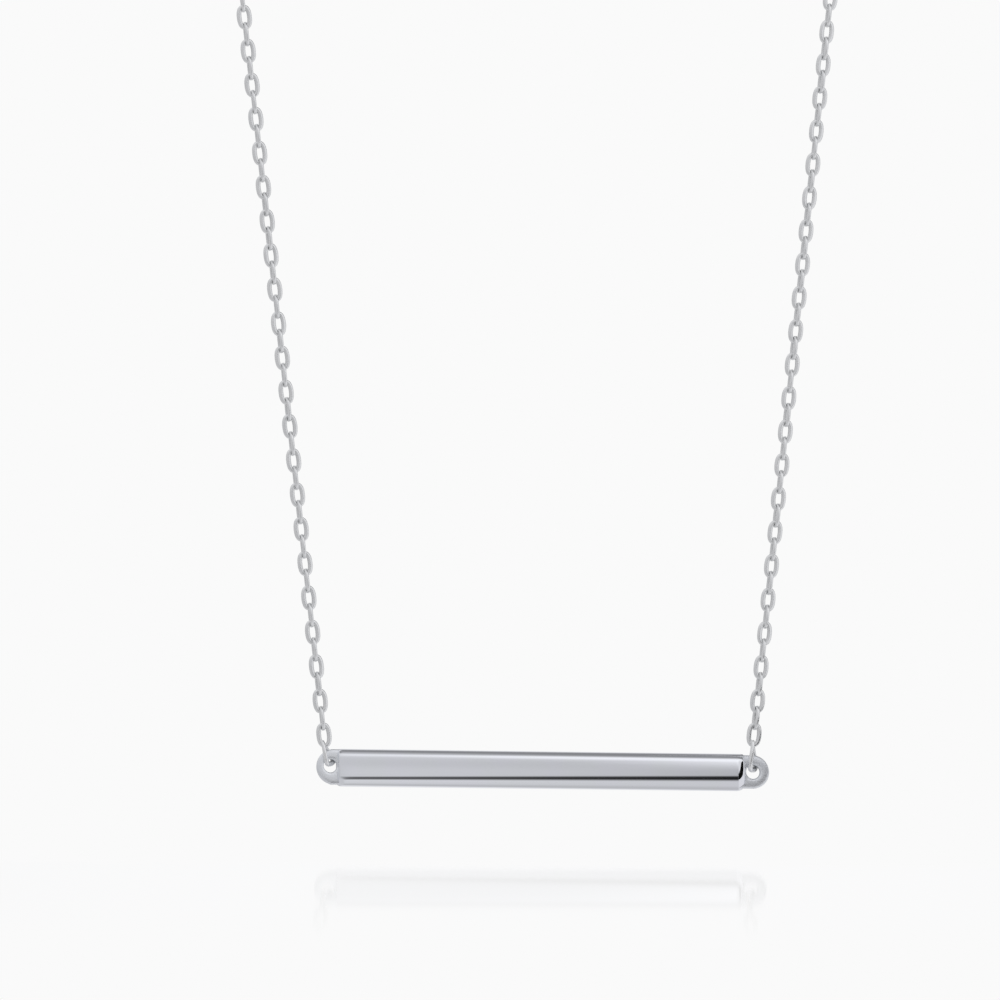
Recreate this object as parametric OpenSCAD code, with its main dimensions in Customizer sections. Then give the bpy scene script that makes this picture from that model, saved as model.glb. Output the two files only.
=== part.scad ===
// Bar pendant: a polished silver bar with a lug at each end, on a closed loop of cable chain.
// The origin is the inner side of the clasp, where the loop rests on the nape of the neck.
// The bar hangs in front (-Y) and below (-Z), and +X is to the right of someone who looks at it.

/* [Bar] */
// Length of the bar without its lugs
bar_l = 40; // [24:0.5:60]
// Height of the bar
bar_h = 3.55; // [2.8:0.05:6]
// Depth of the bar from front to back
bar_d = 1.8; // [1.5:0.05:3]
// How far the middle of the front face stands out past its long edges
bar_crown = 0.06; // [0.02:0.01:0.2]
// Radius of the rolled long edges of the front
roll_r = 1; // [0.4:0.05:1.2]
// Radius of the rolled ends of the front
end_roll_r = 0.45; // [0.2:0.05:0.9]
// Radius of the four corners seen from the front
corner_r = 0.5; // [0.2:0.05:1.2]
// Radius of the long back edges
back_r = 0.3; // [0.1:0.05:0.4]

/* [Lugs] */
// How far each lug stands out past the end of the bar
lug_l = 2.3; // [2:0.05:4]
// Thickness of a lug from front to back
lug_t = 0.5; // [0.46:0.02:0.56]
// Step from the top of the bar down to the top of a lug
lug_step = 0.05; // [0.02:0.01:0.2]
// How far the middle of a lug's thickness lies in front of the middle of the bar
lug_front = 0.18; // [0:0.01:0.3]
// Diameter of the hole in a lug
hole_d = 1.7; // [1.3:0.05:2]
// Width of the metal between the hole and the tip of the lug
lug_band = 0.75; // [0.4:0.05:1.2]
// How far the lug reaches into the bar, to be soldered there
lug_root = 1; // [0.5:0.1:3]
// Radius on the edges of the lug and of its hole
lug_edge_r = 0.22; // [0.05:0.01:0.22]

/* [Chain] */
// Outer length of a link
link_l = 2.49; // [2.4:0.01:3]
// Outer width of a link
link_w = 1.55; // [1.5:0.01:1.9]
// Thickness of the link's wire
wire_d = 0.36; // [0.25:0.01:0.38]
// Least gap between the wires of two links where they hook together
hook_gap = 0.11; // [0.1:0.01:0.2]
// Gap where a chain meets an end link or the clasp, and where an end link meets its lug
seat_gap = 0.16; // [0.12:0.01:0.3]
// How far an end link hangs outside the middle of the lug's hole
seat_out = 0.3; // [0:0.05:0.4]
// How far the lug's rim lies in front of the middle of its end link, which leaves the leaning lug clear
seat_front = 0.08; // [0:0.01:0.12]

/* [Clasp] */
// Radius of the clasp's ring, to the middle of its tube
clasp_r = 2.4; // [1.8:0.1:4]
// Thickness of the clasp's tube
clasp_t = 1.1; // [0.8:0.1:1.6]
// Radius of each of the clasp's two eyes, to the middle of its wire
eye_r = 0.8; // [0.75:0.05:1.2]
// Thickness of the wire of an eye
eye_t = 0.5; // [0.4:0.05:0.6]
// How deep an eye's wire is soldered into the clasp's tube
eye_sink = 0.1; // [0.05:0.05:0.2]

/* [Hang] */
// How far the chain's lowest hooks lie below the nape
drop = 110; // [100:1:130]
// How far the chain's lowest hooks lie in front of the nape
reach = 88; // [86:1:100]

/* [Hidden] */

// Points that the right half of the chain follows between its lowest hook and the clasp
route_points = [
    // x, y, z: straight up, leaning back with the chest
    [23.7, -85.6, -86],
    [26.4, -83.2, -62],
    [29.1, -80.8, -38],
    // over the base of the neck and round its side
    [30.6, -79.4, -26],
    [36, -72, -18],
    [42, -61, -13.5],
    [46, -47.5, -10.5],
    [46.5, -33, -8],
    // round the back to the clasp
    [43, -19, -5.5],
    [34.5, -8, -3],
    [21.5, -1.5, -1]
];
// Steps between two of those points where the chain's path is worked out
route_steps = 24;
// Share of the chain, counted from the bar, along which its links face straight forward
facing_share = 0.36;
// Fineness of the wire, of wide arcs and of plain round edges
wire_fn = 40;
arc_fn = 360;
round_fn = 64;
// Overlap that makes a cut go right through
cut = 1;

silver = [0.8, 0.8, 0.81];
bright_silver = [0.87, 0.87, 0.88];

// Front section of the bar: the crown's arc runs tangent into the rolled edges
crown_r = (pow(bar_h / 2, 2) + pow(bar_crown, 2)) / (2 * bar_crown);
crown_y = crown_r - bar_d / 2;
roll_z = bar_h / 2 - roll_r;
roll_y = crown_y - sqrt(pow(crown_r - roll_r, 2) - pow(roll_z, 2));
face_z = crown_r * roll_z / (crown_r - roll_r);

// Lug: a disc of the bar's height that is drawn out to the bar
lug_r = bar_h / 2 - lug_step;
lug_x = bar_l / 2 + lug_l - lug_r;
hole_r = hole_d / 2;
hole_x = bar_l / 2 + lug_l - lug_band - hole_r;

// Link: two half rings joined by two straight sides
link_end_r = (link_w - wire_d) / 2;
link_half = (link_l - wire_d) / 2;
link_side = link_half - link_end_r;
pitch_most = link_l - 2 * wire_d - hook_gap;

// Lowest hook of each chain, which is the bar's swing axis, and the end link that hangs from it
swing_x = hole_x + seat_out;
end_wire_z = -drop - link_l + 2 * wire_d + seat_gap;
// Top of the lug's rim that rests on the end link, in the bar's own frame and in the part's
rim_z = sqrt(pow(hole_r, 2) - pow(seat_out, 2));
seat_y = -reach - seat_front;
seat_z = end_wire_z + wire_d / 2 + seat_gap;

// The bar leans back until its centre of mass is right below the swing axis. Its front edges are
// rounder than its back ones, so that centre lies a little behind the middle of its depth
function corner_area(r) = (1 - PI / 4) * pow(r, 2);
function corner_y(r) = bar_d / 2 - r * (10 - 3 * PI) / (12 - 3 * PI);
section_area = bar_h * bar_d - 2 * corner_area(roll_r) - 2 * corner_area(back_r);
mass_back = 2 * (corner_area(roll_r) * corner_y(roll_r) - corner_area(back_r) * corner_y(back_r))
    / section_area;
mass_reach = norm([mass_back + lug_front, rim_z]);
lean = acos(seat_front / mass_reach) - atan2(rim_z, mass_back + lug_front);

// Clasp: hooks in its two eyes
clasp_y = clasp_t / 2;
eye_x = clasp_r + clasp_t / 2 - eye_sink + eye_r;
clasp_hook_x = eye_x + eye_r - eye_t / 2 - seat_gap - wire_d / 2;

// Path of the right half of the chain: a smooth spline, sampled and measured along its length
route = concat([[swing_x, -reach, -drop]], route_points, [[clasp_hook_x, clasp_y, 0]]);
last_point = len(route) - 1;
function route_at(i) =
    i < 0 ? 2 * route[0] - route[1] :
    i > last_point ? 2 * route[last_point] - route[last_point - 1] :
    route[i];
function spline(a, b, c, d, t) =
    (pow(1 - t, 3) * a + (3 * pow(t, 3) - 6 * pow(t, 2) + 4) * b
    + (1 + 3 * t + 3 * pow(t, 2) - 3 * pow(t, 3)) * c + pow(t, 3) * d) / 6;
path = [
    for (i = [0 : last_point - 1], k = [0 : route_steps - 1])
        spline(route_at(i - 1), route_at(i), route_at(i + 1), route_at(i + 2), k / route_steps),
    route[last_point]
];
run = [
    for (i = 0, s = 0; i < len(path);
        i = i + 1, s = i < len(path) ? s + norm(path[i] - path[i - 1]) : s) s
];
chain_l = run[len(run) - 1];
path_x = [for (i = [0 : len(path) - 1]) [run[i], path[i].x]];
path_y = [for (i = [0 : len(path) - 1]) [run[i], path[i].y]];
path_z = [for (i = [0 : len(path) - 1]) [run[i], path[i].z]];
function path_at(s) = [lookup(s, path_x), lookup(s, path_y), lookup(s, path_z)];

// Links: an even number that fills the path, with the pitch eased down to fit
link_pairs = ceil(((chain_l - 2 * link_half) / pitch_most + 1) / 2);
link_count = 2 * link_pairs;
pitch = (chain_l - 2 * link_half) / (link_count - 1);

function unit(v) = v / norm(v);
function smooth(t) = t < 0 ? 0 : t > 1 ? 1 : t * t * (3 - 2 * t);
// Direction that a link faces at a length along the chain: forward at the bar, back at the nape
function facing(s) =
    let (a = 180 * smooth((s / chain_l - facing_share) / (1 - facing_share)))
    [sin(a), -cos(a), 0];

// Section of the bar across its length, front to the left
module bar_section() {
    intersection() {
        union() {
            intersection() {
                translate([crown_y, 0]) circle(r = crown_r, $fn = arc_fn);
                square([bar_d + 2 * cut, 2 * face_z], center = true);
            }
            for (side = [-1, 1])
                translate([roll_y, side * roll_z]) circle(r = roll_r, $fn = round_fn);
        }
        translate([-bar_d / 2 - cut, -bar_h / 2]) square([roll_y + bar_d / 2 + cut, bar_h]);
    }
    translate([roll_y, -bar_h / 2]) square([bar_d / 2 - back_r - roll_y, bar_h]);
    translate([roll_y, back_r - bar_h / 2]) square([bar_d / 2 - roll_y, bar_h - 2 * back_r]);
    for (side = [-1, 1])
        translate([bar_d / 2 - back_r, side * (bar_h / 2 - back_r)]) circle(r = back_r, $fn = round_fn);
}

module rounded_rectangle(l, h, r) {
    square([l - 2 * r, h], center = true);
    square([l, h - 2 * r], center = true);
    for (x = [-1, 1], y = [-1, 1])
        translate([x * (l / 2 - r), y * (h / 2 - r)]) circle(r = r, $fn = round_fn);
}

// Plan of the bar: square at the back, rolled at the two front corners
module bar_plan() {
    translate([-bar_l / 2, end_roll_r - bar_d / 2]) square([bar_l, bar_d - end_roll_r + cut]);
    translate([end_roll_r - bar_l / 2, -bar_d / 2 - cut]) square([bar_l - 2 * end_roll_r, bar_d + cut]);
    for (side = [-1, 1])
        translate([side * (bar_l / 2 - end_roll_r), end_roll_r - bar_d / 2])
            circle(r = end_roll_r, $fn = round_fn);
}

module bar_body() {
    intersection() {
        rotate([90, 0, 90]) linear_extrude(bar_l + 2 * cut, center = true) bar_section();
        rotate([90, 0, 0])
            linear_extrude(bar_d + 2 * cut, center = true) rounded_rectangle(bar_l, bar_h, corner_r);
        linear_extrude(bar_h + 2 * cut, center = true) bar_plan();
    }
}

// Half section of a disc with rounded edges, for turning
module disc_section(r, t, edge) {
    translate([0, -t / 2]) square([r - edge, t]);
    translate([0, edge - t / 2]) square([r, t - 2 * edge]);
    for (side = [-1, 1])
        translate([r - edge, side * (t / 2 - edge)]) circle(r = edge, $fn = round_fn);
}

// Half section of a through hole whose two rims are rounded
module hole_section(r, t, edge) {
    translate([0, -t / 2 - cut]) square([r, t + 2 * cut]);
    for (side = [-1, 1]) mirror([0, side < 0 ? 1 : 0])
        difference() {
            translate([r - edge, t / 2 - edge]) square([2 * edge, edge + cut]);
            translate([r + edge, t / 2 - edge]) circle(r = edge, $fn = round_fn);
        }
}

// Right lug, in the bar's own frame
module lug() {
    translate([0, -lug_front, 0]) difference() {
        union() {
            translate([lug_x, 0, 0]) rotate([90, 0, 0])
                rotate_extrude($fn = round_fn) disc_section(lug_r, lug_t, lug_edge_r);
            translate([bar_l / 2 - lug_root, 0, 0]) rotate([90, 0, 90])
                linear_extrude(lug_x - bar_l / 2 + lug_root)
                    rounded_rectangle(lug_t, 2 * lug_r, lug_edge_r);
        }
        translate([hole_x, 0, 0]) rotate([90, 0, 0])
            rotate_extrude($fn = round_fn) hole_section(hole_r, lug_t, lug_edge_r);
    }
}

module bar() {
    color(bright_silver)
        translate([0, seat_y, seat_z]) rotate([-lean, 0, 0]) translate([0, lug_front, -rim_z]) {
            bar_body();
            lug();
            mirror([1, 0, 0]) lug();
        }
}

// One link about its middle, with its length along X and its hole's axis along Z
module link() {
    for (side = [-1, 1]) {
        translate([side * link_side, 0, 0]) rotate([0, 0, side > 0 ? -90 : 90])
            rotate_extrude(angle = 180, $fn = wire_fn)
                translate([link_end_r, 0]) circle(d = wire_d, $fn = wire_fn);
        translate([0, side * link_end_r, 0]) rotate([0, 90, 0])
            cylinder(h = 2 * link_side, d = wire_d, center = true, $fn = wire_fn);
    }
}

// A link between two ends of its middle line, which faces the given way
module placed_link(from, to, face) {
    x = unit(to - from);
    z = unit(face - (face * x) * x);
    y = cross(z, x);
    m = (from + to) / 2;
    multmatrix([[x.x, y.x, z.x, m.x], [x.y, y.y, z.y, m.y], [x.z, y.z, z.z, m.z], [0, 0, 0, 1]])
        link();
}

// Right half of the chain: links turn a quarter turn from one to the next
module chain_half() {
    color(silver) for (k = [0 : link_count - 1]) {
        low = path_at(k * pitch);
        high = path_at(k * pitch + 2 * link_half);
        front = facing(k * pitch + link_half);
        placed_link(low, high, k % 2 == 0 ? front : cross(unit(high - low), front));
    }
}

// Right end link: upright, seen edge on from the front, through the lug's hole and the lowest link
module end_link() {
    low = [swing_x, -reach, end_wire_z];
    color(silver) placed_link(low, low + [0, 0, 2 * link_half], [1, 0, 0]);
}

module end_link_left() mirror([1, 0, 0]) end_link();
module end_link_right() end_link();
module chain_left() mirror([1, 0, 0]) chain_half();
module chain_right() chain_half();

module clasp() {
    color(silver) translate([0, clasp_y, 0]) rotate([90, 0, 0]) {
        rotate_extrude($fn = round_fn) translate([clasp_r, 0]) circle(d = clasp_t, $fn = wire_fn);
        for (side = [-1, 1]) translate([side * eye_x, 0, 0])
            rotate_extrude($fn = round_fn) translate([eye_r, 0]) circle(d = eye_t, $fn = wire_fn);
    }
}

bar();
end_link_left();
end_link_right();
chain_left();
chain_right();
clasp();
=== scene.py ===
"""Dresses the bar pendant: a buffed silver bar that hangs by two lugs from a loop of cable chain.

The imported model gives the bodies, the boxes and the hinge. Each shape here repeats a form of the
part's source at a finer step and with the small unevenness of handwork, and stands in its place.
Sizes are in millimetres in the classes and in metres in the scene.
"""

import logging
import math
import random
from dataclasses import dataclass, field
from enum import Enum
from typing import NamedTuple

import bpy
import numpy as np
from mathutils import Matrix, Vector


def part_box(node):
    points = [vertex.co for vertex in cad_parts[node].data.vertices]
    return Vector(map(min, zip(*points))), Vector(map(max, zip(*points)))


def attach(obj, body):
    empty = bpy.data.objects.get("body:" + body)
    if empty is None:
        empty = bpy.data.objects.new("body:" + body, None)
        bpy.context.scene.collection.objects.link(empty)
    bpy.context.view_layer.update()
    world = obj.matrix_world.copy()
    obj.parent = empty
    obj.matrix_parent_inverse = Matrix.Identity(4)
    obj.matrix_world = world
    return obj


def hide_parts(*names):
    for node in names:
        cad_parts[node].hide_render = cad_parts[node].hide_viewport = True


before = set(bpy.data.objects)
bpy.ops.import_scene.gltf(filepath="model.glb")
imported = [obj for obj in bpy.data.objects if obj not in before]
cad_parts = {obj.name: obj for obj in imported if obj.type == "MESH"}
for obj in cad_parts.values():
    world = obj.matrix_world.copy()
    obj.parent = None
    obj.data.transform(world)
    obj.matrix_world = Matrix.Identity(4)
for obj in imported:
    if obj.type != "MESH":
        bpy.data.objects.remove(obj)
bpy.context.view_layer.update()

MM = 0.001
# the mesh mask of painted shade (chain links, end links) and of wear (lugs)
PAINTED_SHADE_AND_WEAR = "painted_shade_and_wear"

log = logging.getLogger("bar_pendant")

Triple = tuple[float, float, float]
Socket = bpy.types.NodeSocket


class Side(Enum):
    """The two sides of the pendant, as someone who looks at it sees them."""

    LEFT = -1
    RIGHT = 1


class Body(Enum):
    """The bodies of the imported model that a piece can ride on."""

    LOOP = "loop"
    PENDANT = "pendant"


class Stance(Enum):
    """How a link stands in the chain: its face to the front, or a quarter turn from that."""

    FACING = 0
    EDGEWISE = 1


# Shader trees


class ShaderTree:
    """Adds and joins the nodes of one material or world in few words."""

    def __init__(self, tree: bpy.types.NodeTree) -> None:
        """Empties the tree and keeps it.

        Args:
            tree: The node tree to fill.
        """
        self.tree = tree
        tree.nodes.clear()

    def node(self, kind: str, **settings: object) -> bpy.types.Node:
        """Adds one node.

        Args:
            kind: Blender's name of the node's type.
            **settings: Properties to set on the node.

        Returns:
            The new node.
        """
        made = self.tree.nodes.new(kind)
        for key, value in settings.items():
            setattr(made, key, value)
        return made

    def plug(self, value: object, target: Socket) -> None:
        """Links a socket to a target, or sets the target's own value.

        Args:
            value: A socket, a number or a colour.
            target: The input that takes it.
        """
        if isinstance(value, bpy.types.NodeSocket):
            self.tree.links.new(value, target)
        else:
            target.default_value = value

    def math(self, operation: str, *values: object, clamp: bool = False) -> Socket:
        """Adds a Math node.

        Args:
            operation: Blender's name of the operation.
            *values: Its inputs, each a socket or a number.
            clamp: Whether the result is held between 0 and 1.

        Returns:
            The node's result.
        """
        made = self.node("ShaderNodeMath", operation=operation, use_clamp=clamp)
        for value, target in zip(values, made.inputs):
            self.plug(value, target)
        return made.outputs[0]

    def span(self, value: object, low: float, high: float, to_low: object = 0.0,
             to_high: object = 1.0) -> Socket:
        """Maps a value's range smoothly onto another one, held at both ends.

        Args:
            value: The socket to read.
            low: Where the range begins.
            high: Where it ends.
            to_low: The result at and before the beginning.
            to_high: The result at and after the end.

        Returns:
            The mapped value.
        """
        made = self.node("ShaderNodeMapRange", interpolation_type="SMOOTHSTEP")
        for number, item in enumerate((value, low, high, to_low, to_high)):
            self.plug(item, made.inputs[number])
        return made.outputs[0]

    def ramps(self, value: object, stops: list[tuple[float, Triple]]) -> list[Socket]:
        """Adds a ramp that carries three rows of levels at once.

        Args:
            value: The position to read, from 0 to 1.
            stops: Pairs of a position and its three levels, in order.

        Returns:
            The three levels at the position.
        """
        made = self.node("ShaderNodeValToRGB")
        ramp = made.color_ramp
        while len(ramp.elements) < len(stops):
            ramp.elements.new(0.5)
        for element, (place, levels) in zip(ramp.elements, stops):
            element.position = place
            element.color = (*levels, 1)
        self.plug(value, made.inputs[0])
        split = self.node("ShaderNodeSeparateXYZ")
        self.plug(made.outputs[0], split.inputs[0])
        return list(split.outputs)

    def blend(self, share: object, first: object, second: object) -> Socket:
        """Mixes two colours.

        Args:
            share: How much of the second colour there is, from 0 to 1.
            first: The first colour, a socket or four numbers.
            second: The second colour.

        Returns:
            The mixed colour.
        """
        made = self.node("ShaderNodeMix", data_type="RGBA")
        for number, item in ((0, share), (6, first), (7, second)):
            self.plug(item, made.inputs[number])
        return made.outputs[2]


@dataclass(frozen=True)
class SilverFinish:
    """Silver that was buffed bright: faint clouds of tint, and hairlines along the work."""

    name: str
    light: Triple
    shade: Triple
    roughness: float
    roughness_spread: float
    cloud_mm: float
    hairline_mm: float
    hairline_stretch: Triple
    hairline_depth_mm: float
    shade_and_wear_tone: float
    hollow_roughness: float

    def material(self) -> bpy.types.Material:
        """Makes the material.

        Returns:
            The new material.
        """
        made = bpy.data.materials.new(self.name)
        made.use_nodes = True
        tree = ShaderTree(made.node_tree)
        place = tree.node("ShaderNodeTexCoord").outputs["Object"]
        clouds = tree.node("ShaderNodeTexNoise")
        tree.plug(place, clouds.inputs["Vector"])
        clouds.inputs["Scale"].default_value = 1 / (self.cloud_mm * MM)
        clouds.inputs["Detail"].default_value = 3

        stretch = tree.node("ShaderNodeMapping")
        tree.plug(place, stretch.inputs["Vector"])
        stretch.inputs["Scale"].default_value = self.hairline_stretch
        hairlines = tree.node("ShaderNodeTexNoise")
        tree.plug(stretch.outputs[0], hairlines.inputs["Vector"])
        hairlines.inputs["Scale"].default_value = 1 / (self.hairline_mm * MM)
        hairlines.inputs["Detail"].default_value = 4

        # painted shade: where the mask is set the colour darkens, deeply in the chain's links and slightly
        # for wear on the lugs, and the roughness rises
        painted_shade_and_wear = tree.node("ShaderNodeAttribute", attribute_name=PAINTED_SHADE_AND_WEAR).outputs["Fac"]
        tint = tree.blend(tree.span(clouds.outputs[0], 0.35, 0.65), (*self.light, 1), (*self.shade, 1))
        dark = tuple(channel * self.shade_and_wear_tone for channel in self.shade)
        colour = tree.blend(painted_shade_and_wear, tint, (*dark, 1))

        rough = tree.span(hairlines.outputs[0], 0.3, 0.75,
                          self.roughness, self.roughness + self.roughness_spread)
        rough = tree.math("ADD", rough, tree.math("MULTIPLY", painted_shade_and_wear, self.hollow_roughness))
        bump = tree.node("ShaderNodeBump")
        bump.inputs["Strength"].default_value = 1.0
        bump.inputs["Distance"].default_value = self.hairline_depth_mm * MM
        tree.plug(hairlines.outputs[0], bump.inputs["Height"])

        metal = tree.node("ShaderNodeBsdfPrincipled")
        metal.inputs["Metallic"].default_value = 1.0
        tree.plug(colour, metal.inputs["Base Color"])
        tree.plug(rough, metal.inputs["Roughness"])
        tree.plug(bump.outputs[0], metal.inputs["Normal"])
        out = tree.node("ShaderNodeOutputMaterial")
        tree.plug(metal.outputs[0], out.inputs[0])
        return made


BUFFED = SilverFinish(
    name="buffed_silver", light=(0.925, 0.935, 0.985), shade=(0.92, 0.94, 0.97),
    roughness=0.045, roughness_spread=0.035, cloud_mm=3.2,
    hairline_mm=0.12, hairline_stretch=(0.02, 1, 1), hairline_depth_mm=0.0001,
    shade_and_wear_tone=0.95, hollow_roughness=0.6)
TUMBLED = SilverFinish(
    name="tumbled_silver", light=(0.96, 0.965, 0.965), shade=(0.92, 0.927, 0.93),
    roughness=0.21, roughness_spread=0.08, cloud_mm=0.9,
    hairline_mm=0.08, hairline_stretch=(1, 1, 0.3), hairline_depth_mm=0.0006,
    shade_and_wear_tone=0.3, hollow_roughness=0.2)


# Meshes


@dataclass
class Shell:
    """A mesh in the making: points in millimetres, faces, and a mask of painted shade and wear for each
    point.
    """

    points: list[np.ndarray] = field(default_factory=list)
    faces: list[np.ndarray] = field(default_factory=list)
    painted_shade_and_wear_marks: list[np.ndarray] = field(default_factory=list)
    count: int = 0

    def add(self, points: np.ndarray, faces: np.ndarray, painted_shade_and_wear: np.ndarray | None = None) -> None:
        """Adds the points and faces of one more closed form.

        Args:
            points: An array of points, one to a row.
            faces: An array of faces, each a row of places in the points.
            painted_shade_and_wear: For each point how much painted shade and wear it takes, from 0 to 1.
        """
        self.points.append(points)
        self.faces.append(faces + self.count)
        self.painted_shade_and_wear_marks.append(np.zeros(len(points)) if painted_shade_and_wear is None else painted_shade_and_wear)
        self.count += len(points)

    def piece(self, name: str, finish: bpy.types.Material) -> bpy.types.Object:
        """Makes the Blender object.

        Args:
            name: The object's name.
            finish: The material that covers it.

        Returns:
            The new object, in metres.
        """
        mesh = bpy.data.meshes.new(name)
        faces = [row.tolist() for block in self.faces for row in block]
        mesh.from_pydata((np.concatenate(self.points) * MM).tolist(), [], faces)
        mesh.shade_smooth()
        mesh.attributes.new(PAINTED_SHADE_AND_WEAR, "FLOAT", "POINT").data.foreach_set(
            "value", np.concatenate(self.painted_shade_and_wear_marks).astype(np.float32))
        mesh.materials.append(finish)
        mesh.update()
        made = bpy.data.objects.new(name, mesh)
        bpy.context.scene.collection.objects.link(made)
        return made


def ring_faces(rings: int, sides: int, closed: bool) -> np.ndarray:
    """Lists the quads between rings of points that follow each other.

    Args:
        rings: How many rings there are.
        sides: How many points a ring has.
        closed: Whether the last ring joins the first.

    Returns:
        An array of quads.
    """
    along = np.arange(rings if closed else rings - 1)[:, None]
    round_it = np.arange(sides)[None, :]
    after, beside = (along + 1) % rings, (round_it + 1) % sides
    corners = (along * sides + round_it, along * sides + beside,
               after * sides + beside, after * sides + round_it)
    return np.stack(corners, axis=-1).reshape(-1, 4)


def arc(centre: tuple[float, float], radius: float, start: float, end: float, steps: int) -> np.ndarray:
    """Gives points on an arc, without its last one.

    Args:
        centre: The arc's centre.
        radius: Its radius.
        start: Its first angle, in radians.
        end: Its last angle.
        steps: How many points there are.

    Returns:
        An array of points in the arc's plane.
    """
    turn = np.linspace(start, end, steps, endpoint=False)
    return np.stack([centre[0] + radius * np.cos(turn), centre[1] + radius * np.sin(turn)], axis=1)


def settle(piece: bpy.types.Object, body: Body, slot: str, *nodes: str) -> None:
    """Puts a finished piece on its body, in the place of its nodes, and reports it.

    Args:
        piece: The finished object.
        body: The body that it rides on.
        slot: The record's material slot for its finish; not used.
        *nodes: The nodes that it stands for.
    """
    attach(piece, body.value)
    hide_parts(*nodes)
    log.info("%s stands for %s: %d faces", piece.name, ", ".join(nodes), len(piece.data.polygons))


# The bar and its lugs


@dataclass
class Hang:
    """Where the bar hangs: the seats of its lugs, how far it leans back, and how it has slid aside."""

    drop: float = 110.0
    reach: float = 88.0
    link_l: float = 2.49
    wire_d: float = 0.36
    seat_gap: float = 0.16
    seat_out: float = 0.3
    seat_front: float = 0.08
    lug_front: float = 0.18
    hole_r: float = 0.85
    lean_deg: float = 10.1467
    aside: float = 0.2
    dip_deg: float = 0.136

    def rim(self) -> float:
        """Gives the height of the seat over the middle of the bar."""
        return math.sqrt(self.hole_r**2 - self.seat_out**2)

    def seat(self) -> Vector:
        """Gives the point under which the bar hangs, halfway between its lugs."""
        low = -self.drop - self.link_l + 2 * self.wire_d + self.seat_gap
        return Vector((0, -self.reach - self.seat_front, low + self.wire_d / 2 + self.seat_gap))

    def place(self) -> Matrix:
        """Gives the move from the bar's own middle to its place, in millimetres."""
        lean = Matrix.Rotation(-math.radians(self.lean_deg), 4, "X")
        dip = Matrix.Rotation(math.radians(self.dip_deg), 4, "Y")
        seat = self.seat() + Vector((self.aside, 0, 0))
        return Matrix.Translation(seat) @ dip @ lean @ Matrix.Translation((0, self.lug_front, -self.rim()))


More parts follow.
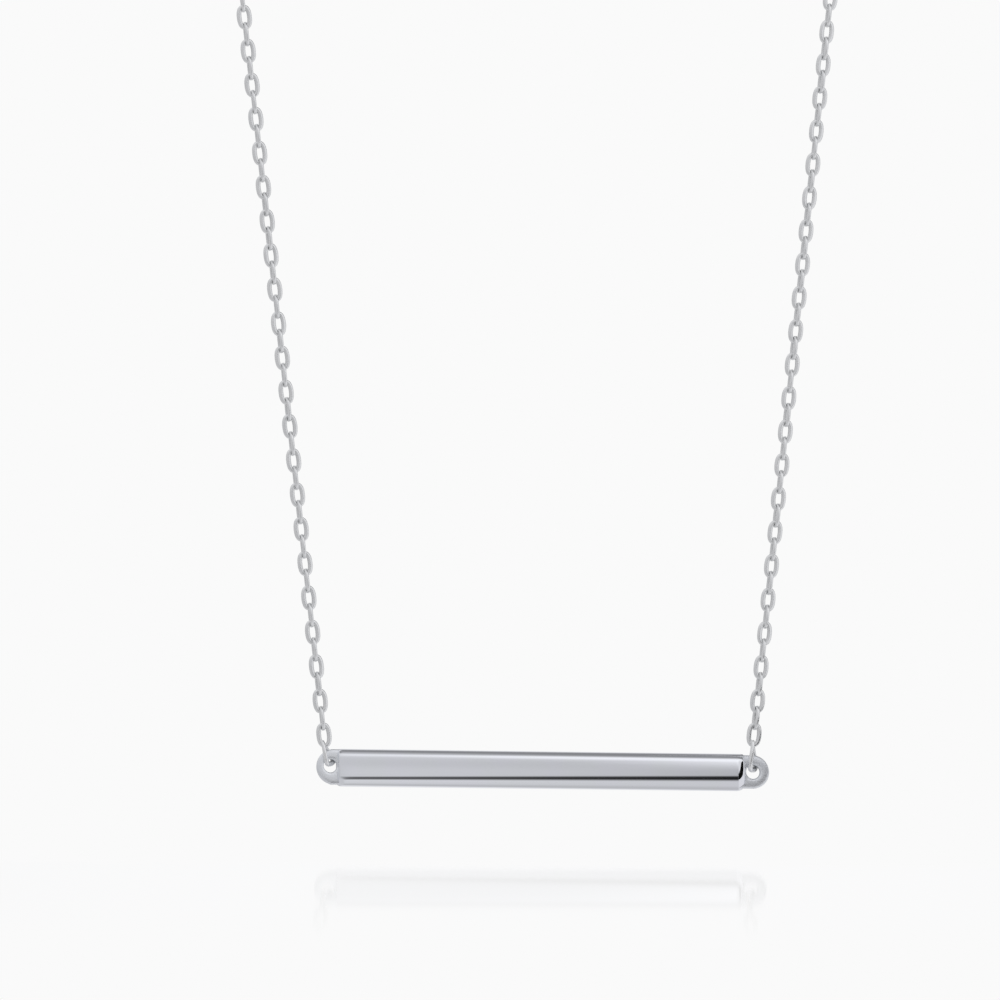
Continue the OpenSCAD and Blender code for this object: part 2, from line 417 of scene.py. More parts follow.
@dataclass
class BarBody:
    """The bar: a crowned front between two rolled edges, with ends that buffing has eased."""

    length: float = 40.0
    height: float = 3.55
    depth: float = 1.8
    crown: float = 0.06
    top_roll: float = 0.97
    low_roll: float = 1.10
    low_roll_growth: float = 0.0139
    back_r: float = 0.3
    end_edge: float = 0.16
    left_ease: tuple[float, float] = (0.05, 2.2)
    front_ease: tuple[float, float] = (0.3, 0.95)
    low_ease: tuple[float, float] = (0.24, 0.8)
    top_ease: tuple[float, float] = (0.1, 0.5)
    back_ease: tuple[float, float] = (0.15, 0.4)
    stations: int = 220
    ease_stations: int = 26
    edge_steps: int = 8
    crown_steps: int = 44
    top_steps: int = 30
    low_steps: int = 34
    rear_steps: int = 12
    back_steps: int = 8
    least_gap: float = 0.005
    cap_inset: float = 0.03

    def section(self, x: float) -> tuple[np.ndarray, np.ndarray]:
        """Works out the section across the bar, front to the left.

        Args:
            x: Place along the bar, from its middle.

        Returns:
            The points of the section and their outward directions.
        """
        half, front = self.height / 2, -self.depth / 2
        crown_r = (half**2 + self.crown**2) / (2 * self.crown)
        crown_y = front + crown_r
        low_r = self.low_roll + self.low_roll_growth * x

        def roll(radius: float) -> tuple[float, float, float]:
            """Gives a roll's centre, and the angle at which it meets the crown.

            Args:
                radius: The roll's radius.

            Returns:
                The centre's depth and height from the middle, and the angle.
            """
            rise, inner = half - radius, crown_r - radius
            return crown_y - math.sqrt(inner**2 - rise**2), rise, math.asin(rise / inner)

        top_y, top_z, top_turn = roll(self.top_roll)
        low_y, low_z, low_turn = roll(low_r)
        back = self.depth / 2 - self.back_r
        flat_z = half - self.back_r
        parts = [
            arc((crown_y, 0), crown_r, math.pi + low_turn, math.pi - top_turn, self.crown_steps),
            arc((top_y, top_z), self.top_roll, math.pi - top_turn, math.pi / 2, self.top_steps),
            np.linspace((top_y, half), (back, half), self.back_steps, endpoint=False),
            arc((back, flat_z), self.back_r, math.pi / 2, 0, self.back_steps),
            np.linspace((self.depth / 2, flat_z), (self.depth / 2, -flat_z), self.rear_steps,
                        endpoint=False),
            arc((back, -flat_z), self.back_r, 0, -math.pi / 2, self.back_steps),
            np.linspace((back, -half), (low_y, -half), self.back_steps, endpoint=False),
            arc((low_y, -low_z), low_r, -math.pi / 2, -math.pi + low_turn, self.low_steps),
        ]
        points = np.concatenate(parts)
        along = np.roll(points, -1, axis=0) - np.roll(points, 1, axis=0)
        along /= np.linalg.norm(along, axis=1)[:, None]
        return points, np.stack([-along[:, 1], along[:, 0]], axis=1)

    def inset(self, out: np.ndarray, x: float, extra: float) -> np.ndarray:
        """Works out how far the section's points draw in near an end.

        Args:
            out: The points' outward directions.
            x: Place along the bar, from its middle.
            extra: An inset that all points share, at the end's own edge.

        Returns:
            For each point its move in depth and height.
        """
        def ease(sizes: tuple[float, float]) -> float:
            """Gives one easing's depth here.

            Args:
                sizes: The easing's depth at the end and its width.

            Returns:
                The depth at this distance from the end.
            """
            return sizes[0] * max(0.0, 1 - (self.length / 2 - abs(x)) / sizes[1])**3

        front = self.left_ease if x < 0 else self.front_ease
        deep = np.where(out[:, 0] < 0, ease(front), ease(self.back_ease)) + extra
        high = np.where(out[:, 1] < 0, ease(self.low_ease), ease(self.top_ease)) + extra
        return np.stack([-out[:, 0] * deep, -out[:, 1] * high], axis=1)

    def places(self) -> list[tuple[float, float]]:
        """Lists the stations along the bar: each one's place, and its inset at the end's edge."""
        half = self.length / 2
        ease = max(self.front_ease[1], self.low_ease[1])
        eased = [half - ease + ease * (1 - (1 - k / self.ease_stations)**1.5)
                 for k in range(self.ease_stations)]
        eased = [x for x in eased if x < half - self.end_edge - self.least_gap]
        edge = [(half - self.end_edge * (1 - math.sin(t)), self.end_edge * (1 - math.cos(t)))
                for t in np.linspace(0, math.pi / 2, self.edge_steps)]
        right = [(x, 0.0) for x in eased] + edge + [(half, self.end_edge + self.cap_inset)]
        middle = np.linspace(-half + ease, half - ease, self.stations + 1, endpoint=False)[1:]
        return [(-x, e) for x, e in reversed(right)] + [(float(x), 0.0) for x in middle] + right

    def build(self, shell: Shell, place: Matrix) -> None:
        """Adds the bar's skin and its two end faces.

        Args:
            shell: The mesh in the making.
            place: The move from the bar's own middle to its place.
        """
        rings = []
        for x, extra in self.places():
            points, out = self.section(x)
            points = points + self.inset(out, x, extra)
            rings.append(np.column_stack([np.full(len(points), x), points]))
        sides = len(rings[0])
        ends = [rings[0].mean(axis=0), rings[-1].mean(axis=0)]
        points = np.concatenate(rings + [np.array(ends)])
        turn = np.array(place)
        shell.add(points @ turn[:3, :3].T + turn[:3, 3], ring_faces(len(rings), sides, False))
        first, last, around = len(rings) * sides, (len(rings) - 1) * sides, np.arange(sides)
        beside = (around + 1) % sides
        caps = [np.stack([np.full(sides, first), beside, around], axis=1),
                np.stack([np.full(sides, first + 1), last + around, last + beside], axis=1)]
        shell.faces.append(np.concatenate(caps) + shell.count - len(points))


@dataclass
class Lug:
    """A half disc at the end of the bar, with a round hole and soft edges, soldered on by hand."""

    side: Side
    radius: float
    middle_x: float
    hole_x: float
    hole_z: float
    hole_r: float
    wear: float
    power: float
    bar_l: float = 40.0
    thickness: float = 0.52
    crest: float = 0.4
    root: float = 0.6
    front: float = 0.18
    seam: float = 0.4
    seam_w: float = 0.06
    turns: int = 120
    sides: int = 48

    def reach(self, angle: float) -> float:
        """Measures from the hole's middle to the lug's outline.

        Args:
            angle: The direction, in radians.

        Returns:
            The distance.
        """
        across, up = math.cos(angle), math.sin(angle)
        aside, over = self.hole_x - self.middle_x, self.hole_z
        along = aside * across + over * up
        disc = -along + math.sqrt(along**2 - aside**2 - over**2 + self.radius**2)
        if across >= 0:
            return disc
        wall = (self.hole_x - self.bar_l / 2 + self.root) / -across
        rail = (self.radius - math.copysign(over, up)) / max(abs(up), 1e-6)
        return max(disc, min(wall, rail))

    def band(self, outer: float) -> np.ndarray:
        """Works out the section of the metal between the hole and the outline.

        Args:
            outer: Distance of the outline from the hole's middle.

        Returns:
            Points of distance and depth, once round.
        """
        turn = np.linspace(0, 2 * math.pi, self.sides, endpoint=False)
        wide = np.sign(np.cos(turn)) * np.abs(np.cos(turn))**self.power
        deep = np.sign(np.sin(turn)) * np.abs(np.sin(turn))**self.power
        width = outer - self.hole_r
        reach = np.where(wide < 0, self.crest, 1 - self.crest) * width
        return np.stack([self.hole_r + self.crest * width + reach * wide,
                         self.thickness / 2 * deep], axis=1)

    def build(self, shell: Shell, place: Matrix) -> None:
        """Adds the lug.

        Args:
            shell: The mesh in the making.
            place: The move from the bar's own middle to its place.
        """
        rings, painted_shade_and_wear = [], []
        for angle in np.linspace(0, 2 * math.pi, self.turns, endpoint=False):
            band = self.band(self.reach(angle))
            x = self.hole_x + band[:, 0] * math.cos(angle)
            rings.append(np.column_stack([self.side.value * x, band[:, 1] - self.front,
                                          self.hole_z + band[:, 0] * math.sin(angle)]))
            to_bar = self.seam * np.clip(1 - np.abs(x - self.bar_l / 2) / self.seam_w, 0, 1)
            painted_shade_and_wear.append(np.maximum(to_bar, self.wear))
        turn = np.array(place)
        points = np.concatenate(rings) @ turn[:3, :3].T + turn[:3, 3]
        faces = ring_faces(self.turns, self.sides, True)
        if self.side is Side.RIGHT:
            faces = faces[:, ::-1]
        shell.add(points, faces, np.concatenate(painted_shade_and_wear))


LUGS = (
    Lug(Side.LEFT, radius=1.7, middle_x=20.35, hole_x=20.73, hole_z=0.1, hole_r=0.63,
        wear=0.42, power=0.6),
    Lug(Side.RIGHT, radius=1.62, middle_x=20.8, hole_x=20.81, hole_z=0.0, hole_r=0.67,
        wear=0.6, power=0.72),
)


@dataclass
class Bar:
    """The whole hard pendant: the bar with a lug on each end, in its place."""

    hang: Hang = field(default_factory=Hang)
    body: BarBody = field(default_factory=BarBody)

    def build(self) -> bpy.types.Object:
        """Builds and dresses the bar.

        Returns:
            The bar's object.
        """
        shell = Shell()
        place = self.hang.place()
        self.body.build(shell, place)
        for lug in LUGS:
            lug.build(shell, place)
        made = shell.piece("buffed_bar", BUFFED.material())
        settle(made, Body.PENDANT, "bar", "bar")
        return made


# The chain


@dataclass
class Link:
    """An oval link of flattened wire, wider along its sides than at its ends."""

    length: float = 2.385
    width: float = 1.46
    end_wire: float = 0.355
    side_wire: float = 0.46
    thickness: float = 0.34
    squareness: float = 2.35
    flatness: float = 2.6
    taper: float = 0.0
    twist_deg: float = 0.0
    swell: float = 0.0
    # painted shade on the inner side of the wire, and the share of it along the sides
    inner_shade: float = 0.6
    side_shade: float = 0.35
    steps: int = 44
    sides: int = 16

    def form(self) -> tuple[np.ndarray, np.ndarray]:
        """Works out the link about its middle, its length along X and its face to Z.

        Returns:
            The points, and how much painted shade each of them takes.
        """
        turn = np.linspace(0, 2 * math.pi, self.steps, endpoint=False)
        power = 2 / self.squareness
        half_l, half_w = (self.length - self.end_wire) / 2, (self.width - self.side_wire) / 2
        cos, sin = np.cos(turn), np.sin(turn)
        slim = 1 - self.taper * (1 + cos) / 2
        line = np.stack([half_l * np.sign(cos) * np.abs(cos)**power,
                         half_w * slim * np.sign(sin) * np.abs(sin)**power], axis=1)
        along = np.roll(line, -1, axis=0) - np.roll(line, 1, axis=0)
        along /= np.linalg.norm(along, axis=1)[:, None]
        out = np.stack([along[:, 1], -along[:, 0]], axis=1)
        girth = 1 + self.swell * (1 - cos) / 2
        wire = girth * (self.end_wire + (self.side_wire - self.end_wire) * np.abs(out[:, 1])**2)

        round_it = np.linspace(0, 2 * math.pi, self.sides, endpoint=False)
        soft = 2 / self.flatness
        wide = np.sign(np.cos(round_it)) * np.abs(np.cos(round_it))**soft
        deep = np.sign(np.sin(round_it)) * np.abs(np.sin(round_it))**soft * self.thickness / 2
        reach = wide[None, :] * wire[:, None] / 2
        flat = line[:, None, :] + out[:, None, :] * reach[:, :, None]
        points = np.concatenate([flat, (girth[:, None] * deep[None, :])[:, :, None]], axis=2)
        twist = math.radians(self.twist_deg) * points[:, :, 0] / half_l
        across, face = points[:, :, 1], points[:, :, 2]
        points[:, :, 1:] = np.stack([across * np.cos(twist) - face * np.sin(twist),
                                     across * np.sin(twist) + face * np.cos(twist)], axis=2)
        # painted shade: the inner side of the wire is darker, most round the link's ends
        inward = np.clip(-np.cos(round_it), 0, 1)[None, :]
        ends = self.side_shade + (1 - self.side_shade) * np.abs(out[:, 0])[:, None]**2
        return points.reshape(-1, 3), self.inner_shade * (inward * ends).reshape(-1)

    def faces(self) -> np.ndarray:
        """Lists the link's quads."""
        return ring_faces(self.steps, self.sides, True)[:, ::-1]


def stand(link: Link, shell: Shell, low: Vector, high: Vector, front: Vector) -> None:
    """Adds a link at the middle between two points, with its length along them.

    Args:
        link: The link's shape.
        shell: The mesh in the making.
        low: The point that its length starts from.
        high: The point that its length runs to.
        front: The way that its face looks.
    """
    along = (high - low).normalized()
    face = (front - front.dot(along) * along).normalized()
    across = face.cross(along)
    turn = np.array([along, across, face])
    points, painted_shade_and_wear = link.form()
    shell.add(points @ turn + np.array((low + high) / 2), link.faces(), painted_shade_and_wear)


@dataclass
class Route:
    """The way of the right half of the chain from its lowest hook to the clasp."""

    points: tuple[Triple, ...] = (
        (21, -88, -110), (23.7, -85.6, -86), (26.4, -83.2, -62), (29.1, -80.8, -38), (30.6, -79.4, -26),
        (36, -72, -18), (42, -61, -13.5), (46, -47.5, -10.5), (46.5, -33, -8),
        (43, -19, -5.5), (34.5, -8, -3), (21.5, -1.5, -1), (3.86, 0.55, 0))
    steps: int = 24

    def __post_init__(self) -> None:
        """Samples the smooth way and measures along it."""
        ways = [Vector(p) for p in self.points]
        ways = [2 * ways[0] - ways[1], *ways, 2 * ways[-1] - ways[-2]]
        line = []
        for a, b, c, d in zip(ways, ways[1:], ways[2:], ways[3:]):
            for k in range(self.steps):
                t = k / self.steps
                line.append(((1 - t)**3 * a + (3 * t**3 - 6 * t**2 + 4) * b
                             + (1 + 3 * t + 3 * t**2 - 3 * t**3) * c + t**3 * d) / 6)
        line.append(ways[-2])
        self.line = np.array(line)
        self.run = np.concatenate([[0], np.cumsum(np.linalg.norm(np.diff(self.line, axis=0), axis=1))])

    def length(self) -> float:
        """Gives the length of the way."""
        return float(self.run[-1])

    def at(self, distance: float) -> Vector:
        """Finds a point of the way.

        Args:
            distance: How far along the way it lies.

        Returns:
            The point.
        """
        return Vector([float(np.interp(distance, self.run, self.line[:, k])) for k in range(3)])


@dataclass
class Chain:
    """One half of the chain: oval links that turn a quarter turn from one to the next."""

    side: Side
    slide: float
    route: Route = field(default_factory=Route)
    link: Link = field(default_factory=Link)
    link_l: float = 2.49
    wire_d: float = 0.36
    hook_gap: float = 0.11
    facing_share: float = 0.36
    sway_deg: float = 5.0
    seed: int = 7

    def facing(self, distance: float) -> Vector:
        """Gives the way that a link's face looks: ahead at the bar, back at the nape.

        Args:
            distance: How far along the chain the link lies.

        Returns:
            A level direction.
        """
        t = (distance / self.route.length() - self.facing_share) / (1 - self.facing_share)
        t = min(max(t, 0.0), 1.0)
        turn = math.pi * t * t * (3 - 2 * t)
        return Vector((math.sin(turn), -math.cos(turn), 0))

    def build(self) -> bpy.types.Object:
        """Builds and dresses this half of the chain.

        Returns:
            The half's object.
        """
        body = self.link_l - self.wire_d
        room = self.route.length() - body
        count = 2 * math.ceil((room / (body - self.wire_d - self.hook_gap) + 1) / 2)
        pitch = (room - self.slide) / (count - 1)
        draw = random.Random(self.seed + self.side.value)
        shell = Shell()
        for number in range(count):
            start = self.slide + number * pitch
            low, high = self.route.at(start), self.route.at(start + body)
            front = self.facing(start + body / 2)
            along = (high - low).normalized()
            if Stance(number % 2) is Stance.EDGEWISE:
                front = along.cross(front)
            sway = math.radians(draw.uniform(-self.sway_deg, self.sway_deg))
            front = Matrix.Rotation(sway, 3, along) @ front
            mirror = Vector((self.side.value, 1, 1))
            stand(self.link, shell, low * mirror, high * mirror, front * mirror)
        node = f"chain_{self.side.name.lower()}"
        made = shell.piece(f"cable_{node}", TUMBLED.material())
        settle(made, Body.LOOP, "chain", node)
        return made


CHAINS = (Chain(Side.LEFT, slide=-0.08), Chain(Side.RIGHT, slide=0.42))


@dataclass
class EndLink:
    """The pear-shaped ring that carries a lug: it passes through the lug's hole and the chain."""

    side: Side
    low: Triple
    high: Triple
    width: float = 1.95
    wire: float = 0.36
    swell: float = 0.35
    taper: float = 0.8
    turn_deg: float = 30.0
    twist_deg: float = 18.0
    flatness: float = 2.1
    squareness: float = 2.4
    steps: int = 72
    sides: int = 24
    # painted shade on the back of the bend through the lug
    bend_shade: float = 0.65
    bend_shade_reach: float = 1.0
    bend_shade_middle: Triple = (0.12, 0.1, 0.25)
    bend_shade_spread: float = 1.4
    bend_shade_way: Triple = (0.7, 0.7, 0)
    bend_shade_edge: float = 0.25
    bend_shade_fade: float = 0.3

    def build(self) -> bpy.types.Object:
        """Builds and dresses the end link.

        Returns:
            The end link's object.
        """
        low, high = Vector(self.low), Vector(self.high)
        link = Link(length=(high - low).length + self.wire, width=self.width, end_wire=self.wire,
                    side_wire=self.wire, thickness=self.wire, flatness=self.flatness,
                    squareness=self.squareness, taper=self.taper, twist_deg=self.twist_deg,
                    swell=self.swell, steps=self.steps, sides=self.sides)
        shell = Shell()
        turn = math.radians(self.turn_deg)
        stand(link, shell, low, high, Vector((-math.cos(turn), math.sin(turn), 0)))
        # painted shade on the back of the bend through the lug
        apart = shell.points[0] - (np.array(low) + np.array(self.bend_shade_middle))
        near = np.clip(self.bend_shade_spread - np.linalg.norm(apart, axis=1) / self.bend_shade_reach, 0, 1)
        back = np.clip((apart @ np.array(self.bend_shade_way) + self.bend_shade_edge) / self.bend_shade_fade, 0, 1)
        shell.painted_shade_and_wear_marks[0] = np.maximum(shell.painted_shade_and_wear_marks[0], self.bend_shade * near * back)
        side = self.side.name.lower()
        made = shell.piece(f"{side}_end_link", TUMBLED.material())
        settle(made, Body.PENDANT, "end_link", f"end_link_{side}")
        return made


END_LINKS = (
    EndLink(Side.LEFT, low=(-20.42, -88, -111.7), high=(-21.25, -88, -109.65)),
    EndLink(Side.RIGHT, low=(21.06, -88, -111.93), high=(21.02, -88, -109.2)),
)


@dataclass
class Clasp:
    """The closed ring at the nape, with an eye on each side that takes the chain."""

    ring_r: float = 2.4
    ring_t: float = 1.1
    eye_r: float = 0.8
    eye_t: float = 0.5
    sink: float = 0.1
    ring_steps: tuple[int, int] = (120, 40)
    eye_steps: tuple[int, int] = (64, 24)

    def hoop(self, x: float, radius: float, thickness: float, steps: int, sides: int) -> np.ndarray:
        """Works out a ring of round wire that stands upright.

        Args:
            x: The ring's middle.
            radius: Its radius, to the middle of the wire.
            thickness: The wire's thickness.
            steps: Steps round the ring.
            sides: Steps round the wire.

        Returns:
            The ring's points.
        """
        turn = np.linspace(0, 2 * math.pi, steps, endpoint=False)[:, None]
        round_it = np.linspace(0, 2 * math.pi, sides, endpoint=False)[None, :]
        far = radius + thickness / 2 * np.cos(round_it)
        deep = self.ring_t / 2 + thickness / 2 * np.sin(round_it) + 0 * turn
        return np.stack([x + far * np.cos(turn), deep, far * np.sin(turn)], axis=-1).reshape(-1, 3)

    def build(self) -> bpy.types.Object:
        """Builds and dresses the clasp.

        Returns:
            The clasp's object.
        """
        shell = Shell()
        shell.add(self.hoop(0, self.ring_r, self.ring_t, *self.ring_steps),
                  ring_faces(*self.ring_steps, True))
        eye_x = self.ring_r + self.ring_t / 2 - self.sink + self.eye_r
        for side in Side:
            shell.add(self.hoop(side.value * eye_x, self.eye_r, self.eye_t, *self.eye_steps),
                      ring_faces(*self.eye_steps, True))
        made = shell.piece("ring_clasp", BUFFED.material())
        settle(made, Body.LOOP, "clasp", "clasp")
        return made


# The studio


class Band(NamedTuple):
    """One row of the light before the bar: its turn up from the horizon, and its levels along the bar."""

    turn: float
    left: float
    middle: float
    right: float


BANDS = (
    Band(-60, 0.64, 0.61, 0.60),
    Band(-42, 0.70, 0.64, 0.60),
    Band(-34, 0.62, 0.57, 0.56),
    Band(-27, 0.36, 0.33, 0.30),
    Band(-20, 0.15, 0.11, 0.05),
    Band(-14, 0.10, 0.03, 0.01),
    Band(-4, 0.10, 0.02, 0.01),
    Band(3, 0.20, 0.10, 0.03),
    Band(9, 0.42, 0.30, 0.20),
    Band(13, 0.60, 0.51, 0.41),
    Band(15, 0.62, 0.55, 0.43),
    Band(17, 0.61, 0.56, 0.43),
    Band(18.4, 0.57, 0.54, 0.49),
    Band(19.6, 0.56, 0.52, 0.62),
    Band(20.6, 0.57, 0.53, 0.76),
    Band(21.6, 0.60, 0.58, 0.88),
    Band(28, 0.62, 0.68, 0.95),
    Band(35, 0.66, 0.80, 0.99),
    Band(42, 0.74, 0.90, 0.99),
    Band(50, 0.82, 0.96, 0.95),
    Band(56, 0.80, 0.92, 0.84),
    Band(62, 0.74, 0.82, 0.62),
    Band(70, 0.58, 0.56, 0.38),
    Band(79, 0.47, 0.34, 0.27),
    Band(90, 0.40, 0.26, 0.24),
)


@dataclass(frozen=True)
class StudioLight:
    """The soft surroundings that the silver mirrors: levels of light, and the angles between them.

    Each pair of angles says where a level begins to show and where it is full, in degrees.
    """

    backdrop: float = 0.956
    floor_gloss: float = 0.27
    floor_mirrored: float = 0.62
    gloss_near: tuple[float, float] = (145.0, 155.0)
    gloss_far: tuple[float, float] = (255.0, 195.0)
    ceiling: float = 0.25
    rear: float = 0.78
    rear_floor: float = 0.5
    wall: float = 0.72
    wall_left: float = 0.57
    panel: float = 0.92
    panel_left: float = 0.7
    low_left: float = 0.5
    wing: float = 0.54
    tint: Triple = (0.998, 1.0, 1.024)
    gloss_roughness: float = 0.04
    ceiling_turn: tuple[float, float] = (90, 100)
    rear_floor_turn: tuple[float, float] = (-70, -110)
    rear_turn: tuple[float, float] = (120, 158)
    panel_rise: tuple[float, float] = (20, 45)
    left_ceiling_rise: tuple[float, float] = (64, 80)
    right_ceiling_turn: tuple[float, float] = (56, 72)
    low_band_top: tuple[float, float] = (14, 8)
    low_band_foot: tuple[float, float] = (-32, -22)
    left_side_lean: tuple[float, float] = (11.1, 0)
    right_side_lean: tuple[float, float] = (15.5, 22)
    wing_rise: tuple[float, float] = (35, 20)
    wing_front: tuple[float, float] = (75, 95)
    wing_rear: tuple[float, float] = (160, 145)


class CardEdge(NamedTuple):
    """One upright of the dark card: its swing to the right, and how far it reaches down and up."""

    swing: float
    low: float
    high: float


@dataclass
class DarkCard:
    """A black card round the bar's right end, there to be mirrored and not to be seen."""

    edges: tuple[CardEdge, ...] = (
        CardEdge(14.6, -20.5, 15.2), CardEdge(17, -20.5, 15.8), CardEdge(22, -19, 17),
        CardEdge(28, -13, 18.6), CardEdge(34, -7, 20.2), CardEdge(40, -1, 22),
        CardEdge(48, 6, 24), CardEdge(56, 10, 26.5), CardEdge(64, 12, 29), CardEdge(71, 13, 30))
    middle: Triple = (20.1, -88.9, -112.1)
    radius: float = 14.0
    near: float = 20.0
    level: float = 0.01

    def finish(self) -> bpy.types.Material:
        """Makes the card's finish: black to what stands near it, and clear to the floor.

        Returns:
            The new material.
        """
        made = bpy.data.materials.new("black_card")
        made.use_nodes = True
        tree = ShaderTree(made.node_tree)
        matt = tree.node("ShaderNodeBsdfDiffuse")
        matt.inputs["Color"].default_value = (self.level, self.level, self.level, 1)
        way = tree.node("ShaderNodeLightPath").outputs["Ray Length"]
        mix = tree.node("ShaderNodeMixShader")
        tree.plug(tree.math("GREATER_THAN", way, self.near * MM), mix.inputs[0])
        tree.plug(matt.outputs[0], mix.inputs[1])
        tree.plug(tree.node("ShaderNodeBsdfTransparent").outputs[0], mix.inputs[2])
        out = tree.node("ShaderNodeOutputMaterial")
        tree.plug(mix.outputs[0], out.inputs[0])
        return made

    def build(self) -> None:
        """Builds the card as one curved sheet."""
        points = []
        for edge in self.edges:
            swing = math.radians(edge.swing)
            for rise in (edge.low, edge.high):
                points.append((self.middle[0] + self.radius * math.sin(swing),
                               self.middle[1] - self.radius * math.cos(swing),
                               self.middle[2] + self.radius * math.tan(math.radians(rise))))
        faces = [(k, k + 1, k + 3, k + 2) for k in range(0, len(points) - 2, 2)]
        shell = Shell()
        shell.add(np.array(points), np.array(faces))
        card = shell.piece("dark_card", self.finish())
        card.visible_camera = False


@dataclass
class Studio:
    """A pale floor under the pendant, and soft light all round it."""

    light: StudioLight = field(default_factory=StudioLight)
    card: DarkCard = field(default_factory=DarkCard)
    floor_drop: float = 3.85
    floor_half: float = 4000.0
    left_lean: float = 11.5
    middle_lean: float = 13.0
    right_lean: float = 14.3

    def build(self) -> None:
        """Builds the floor, the card and the surroundings."""
        self.build_floor()
        self.card.build()
        self.build_surroundings()

    def build_floor(self) -> None:
        """Lays the pale floor a little under the bar."""
        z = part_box("bar")[0].z / MM - self.floor_drop
        half = self.floor_half
        shell = Shell()
        shell.add(np.array([(-half, -half, z), (half, -half, z), (half, half, z), (-half, half, z)]),
                  np.array([[0, 1, 2, 3]]))
        floor = shell.piece("floor", self.floor_finish())

    def floor_finish(self) -> bpy.types.Material:
        """Makes the floor's finish: an even glow with a glossy strip ahead of the bar.

        Only the camera sees it. Light that the pieces mirror passes through it.

        Returns:
            The new material.
        """
        light = self.light
        made = bpy.data.materials.new("pale_floor")
        made.use_nodes = True
        tree = ShaderTree(made.node_tree)
        axes = tree.node("ShaderNodeSeparateXYZ")
        tree.plug(tree.node("ShaderNodeTexCoord").outputs["Object"], axes.inputs[0])
        ahead = tree.math("MULTIPLY", axes.outputs["Y"], -1 / MM)
        share = tree.math("MULTIPLY", tree.span(ahead, *light.gloss_near), tree.span(ahead, *light.gloss_far))
        share = tree.math("MULTIPLY", share, light.floor_gloss)
        # what the gloss mirrors of the empty room is left out of the glow, so that the floor stays even
        glow = tree.node("ShaderNodeEmission")
        glow.inputs["Color"].default_value = (1, 1, 1, 1)
        own = tree.math("SUBTRACT", light.backdrop, tree.math("MULTIPLY", share, light.floor_mirrored))
        tree.plug(tree.math("DIVIDE", own, tree.math("SUBTRACT", 1.0, share)), glow.inputs["Strength"])
        gloss = tree.node("ShaderNodeBsdfGlossy")
        gloss.inputs["Roughness"].default_value = light.gloss_roughness
        pale = tree.node("ShaderNodeMixShader")
        tree.plug(share, pale.inputs[0])
        tree.plug(glow.outputs[0], pale.inputs[1])
        tree.plug(gloss.outputs[0], pale.inputs[2])
        mix = tree.node("ShaderNodeMixShader")
        tree.plug(tree.node("ShaderNodeLightPath").outputs["Is Camera Ray"], mix.inputs[0])
        tree.plug(tree.node("ShaderNodeBsdfTransparent").outputs[0], mix.inputs[1])
        tree.plug(pale.outputs[0], mix.inputs[2])
        out = tree.node("ShaderNodeOutputMaterial")
        tree.plug(mix.outputs[0], out.inputs[0])
        return made

    def build_surroundings(self) -> None:
        """Fills the world: an even backdrop to look at, and softly graded light to mirror."""
        world = bpy.data.worlds.new("studio")
        bpy.context.scene.world = world
        world.use_nodes = True
        tree = ShaderTree(world.node_tree)
        axes = tree.node("ShaderNodeSeparateXYZ")
        tree.plug(tree.node("ShaderNodeTexCoord").outputs["Generated"], axes.inputs[0])
        level = self.surroundings(tree, *axes.outputs)
        seen = tree.node("ShaderNodeLightPath").outputs["Is Camera Ray"]
        colour = tree.blend(seen, (*self.light.tint, 1), (1, 1, 1, 1))
        glow = tree.node("ShaderNodeBackground")
        tree.plug(colour, glow.inputs["Color"])
        tree.plug(tree.span(seen, 0, 1, level, self.light.backdrop), glow.inputs["Strength"])
        out = tree.node("ShaderNodeOutputWorld")
        tree.plug(glow.outputs[0], out.inputs[0])

    def surroundings(self, tree: ShaderTree, x: Socket, y: Socket, z: Socket) -> Socket:
        """Grades the mirrored light by direction.

        Args:
            tree: The world's tree.
            x: The direction's share along the bar, to the right.
            y: Its share away from the viewer.
            z: Its share upward.

        Returns:
            The level of light.
        """
        light = self.light

        def degrees(operation: str, *values: object) -> Socket:
            """Works out an angle in degrees.

            Args:
                operation: The inverse function that gives it in radians.
                *values: The function's inputs.

            Returns:
                The angle.
            """
            return tree.math("MULTIPLY", tree.math(operation, *values), 180 / math.pi)

        def layer(under: object, share: object, level: object) -> Socket:
            """Lays one level over another by a share.

            Args:
                under: The level below.
                share: How much the new level covers, from 0 to 1.
                level: The new level.

            Returns:
                The mixed level.
            """
            gap = tree.math("SUBTRACT", level, under)
            return tree.math("ADD", under, tree.math("MULTIPLY", gap, share))

        ahead = tree.math("MULTIPLY", y, -1.0)
        rise, swing = degrees("ARCSINE", z), degrees("ARCTAN2", x, ahead)
        turn, lean = degrees("ARCTAN2", z, ahead), degrees("ARCSINE", x)

        # before the bar: bands that run along it, and change a little from its left to its right
        low, high = BANDS[0].turn, BANDS[-1].turn
        place = tree.math("DIVIDE", tree.math("SUBTRACT", turn, low), high - low)
        stops = [((band.turn - low) / (high - low), band[1:]) for band in BANDS]
        left, middle, right = tree.ramps(place, stops)
        to_middle = tree.math("DIVIDE", tree.math("SUBTRACT", lean, self.left_lean),
                              self.middle_lean - self.left_lean, clamp=True)
        to_right = tree.math("DIVIDE", tree.math("SUBTRACT", lean, self.middle_lean),
                             self.right_lean - self.middle_lean, clamp=True)
        level = layer(layer(left, to_middle, middle), to_right, right)
        # over and behind it: a dark ceiling, and light low down
        over = tree.math("ABSOLUTE", turn)
        level = layer(level, tree.span(turn, *light.ceiling_turn), light.ceiling)
        level = layer(level, tree.span(turn, *light.rear_floor_turn), light.rear_floor)
        level = layer(level, tree.span(over, *light.rear_turn), light.rear)

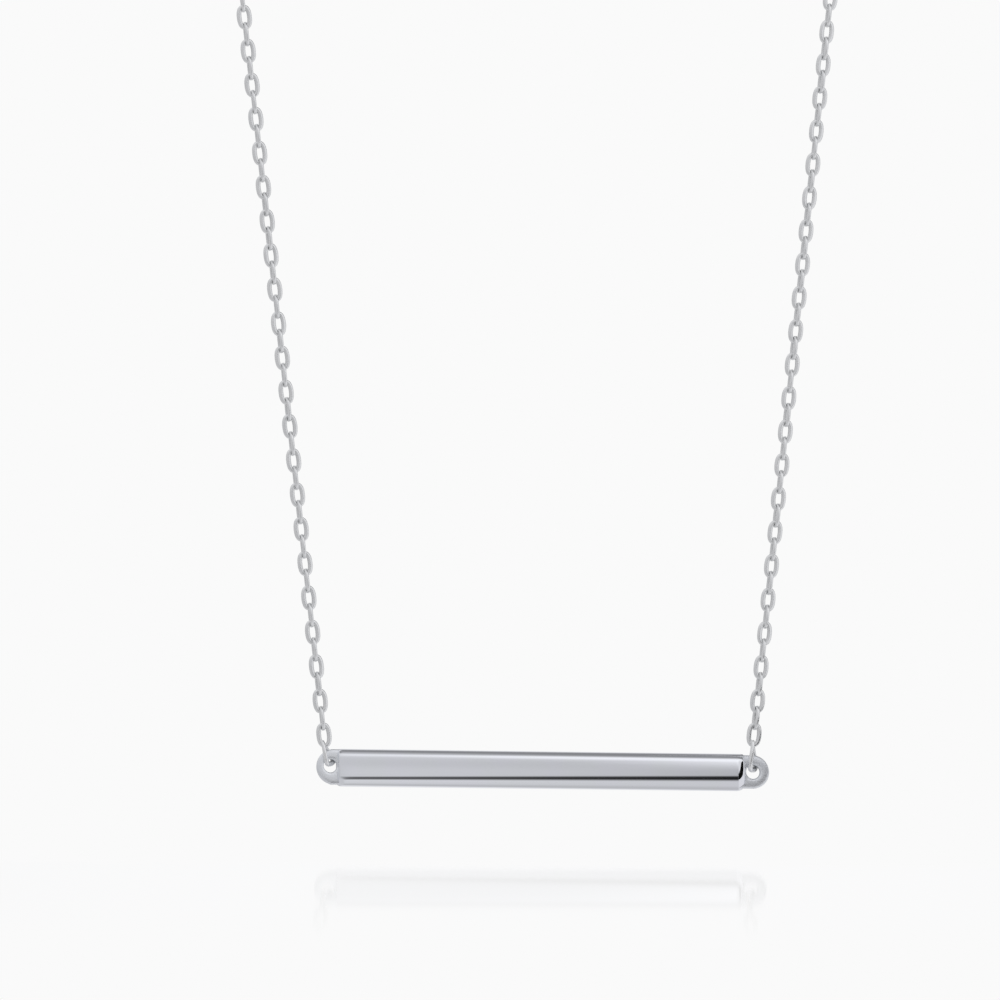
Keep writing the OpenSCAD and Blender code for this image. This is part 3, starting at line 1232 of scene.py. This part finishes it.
        # to the sides the light depends on the height, with a darker band low down on the left
        left_side = layer(light.wall_left, tree.span(rise, *light.panel_rise), light.panel_left)
        left_side = layer(left_side, tree.span(rise, *light.left_ceiling_rise), light.ceiling)
        low_band = tree.math("MULTIPLY", tree.span(rise, *light.low_band_top),
                             tree.span(rise, *light.low_band_foot))
        left_side = layer(left_side, low_band, light.low_left)
        right_side = layer(light.wall, tree.span(rise, *light.panel_rise), light.panel)
        right_side = layer(right_side, tree.span(turn, *light.right_ceiling_turn), light.ceiling)
        level = layer(level, tree.span(lean, *light.left_side_lean), left_side)
        level = layer(level, tree.span(lean, *light.right_side_lean), right_side)
        # darker wings on both sides, that the outer edges mirror
        wing = tree.span(tree.math("ABSOLUTE", rise), *light.wing_rise)
        wing = tree.math("MULTIPLY", wing, tree.span(tree.math("ABSOLUTE", swing), *light.wing_front))
        wing = tree.math("MULTIPLY", wing, tree.span(tree.math("ABSOLUTE", swing), *light.wing_rear))
        return layer(level, wing, light.wing)


@dataclass
class ViewCamera:
    """A camera a little to the left of the pendant and over the bar, with a long lens."""

    yaw_deg: float = 12.239
    pitch_deg: float = 0.31
    roll_deg: float = 1.059
    distance: float = 719.05
    focal_px: float = 7507.8
    frame_px: float = 1000.0
    sensor_mm: float = 36.0
    aim: Triple = (-4.402, -88.05, -86.285)
    clip_m: tuple[float, float] = (0.01, 20)

    def build(self) -> None:
        """Makes the camera and gives it to the scene."""
        yaw, pitch, roll = (math.radians(turn) for turn in (self.yaw_deg, self.pitch_deg, self.roll_deg))
        ahead = Vector((math.sin(yaw) * math.cos(pitch), math.cos(yaw) * math.cos(pitch), -math.sin(pitch)))
        right = Vector((math.cos(yaw), -math.sin(yaw), 0))
        up = right.cross(ahead)
        across = right * math.cos(roll) + up * math.sin(roll)
        over = up * math.cos(roll) - right * math.sin(roll)
        data = bpy.data.cameras.new("view_camera")
        data.sensor_width = self.sensor_mm
        data.lens = self.sensor_mm * self.focal_px / self.frame_px
        data.clip_start, data.clip_end = self.clip_m
        made = bpy.data.objects.new("view_camera", data)
        bpy.context.scene.collection.objects.link(made)
        turn = Matrix((across, over, -ahead)).transposed().to_4x4()
        made.matrix_world = Matrix.Translation((Vector(self.aim) - ahead * self.distance) * MM) @ turn
        bpy.context.scene.camera = made
        bpy.context.scene.view_settings.view_transform = "Standard"


def main() -> None:
    """Builds the pendant and its studio, one piece after the other."""
    logging.basicConfig(level=logging.INFO, format="%(name)s: %(message)s")
    ViewCamera().build()
    Bar().build()
    for end_link in END_LINKS:
        end_link.build()
    for chain in CHAINS:
        chain.build()
    Clasp().build()
    Studio().build()


if __name__ == "__main__":
    main()
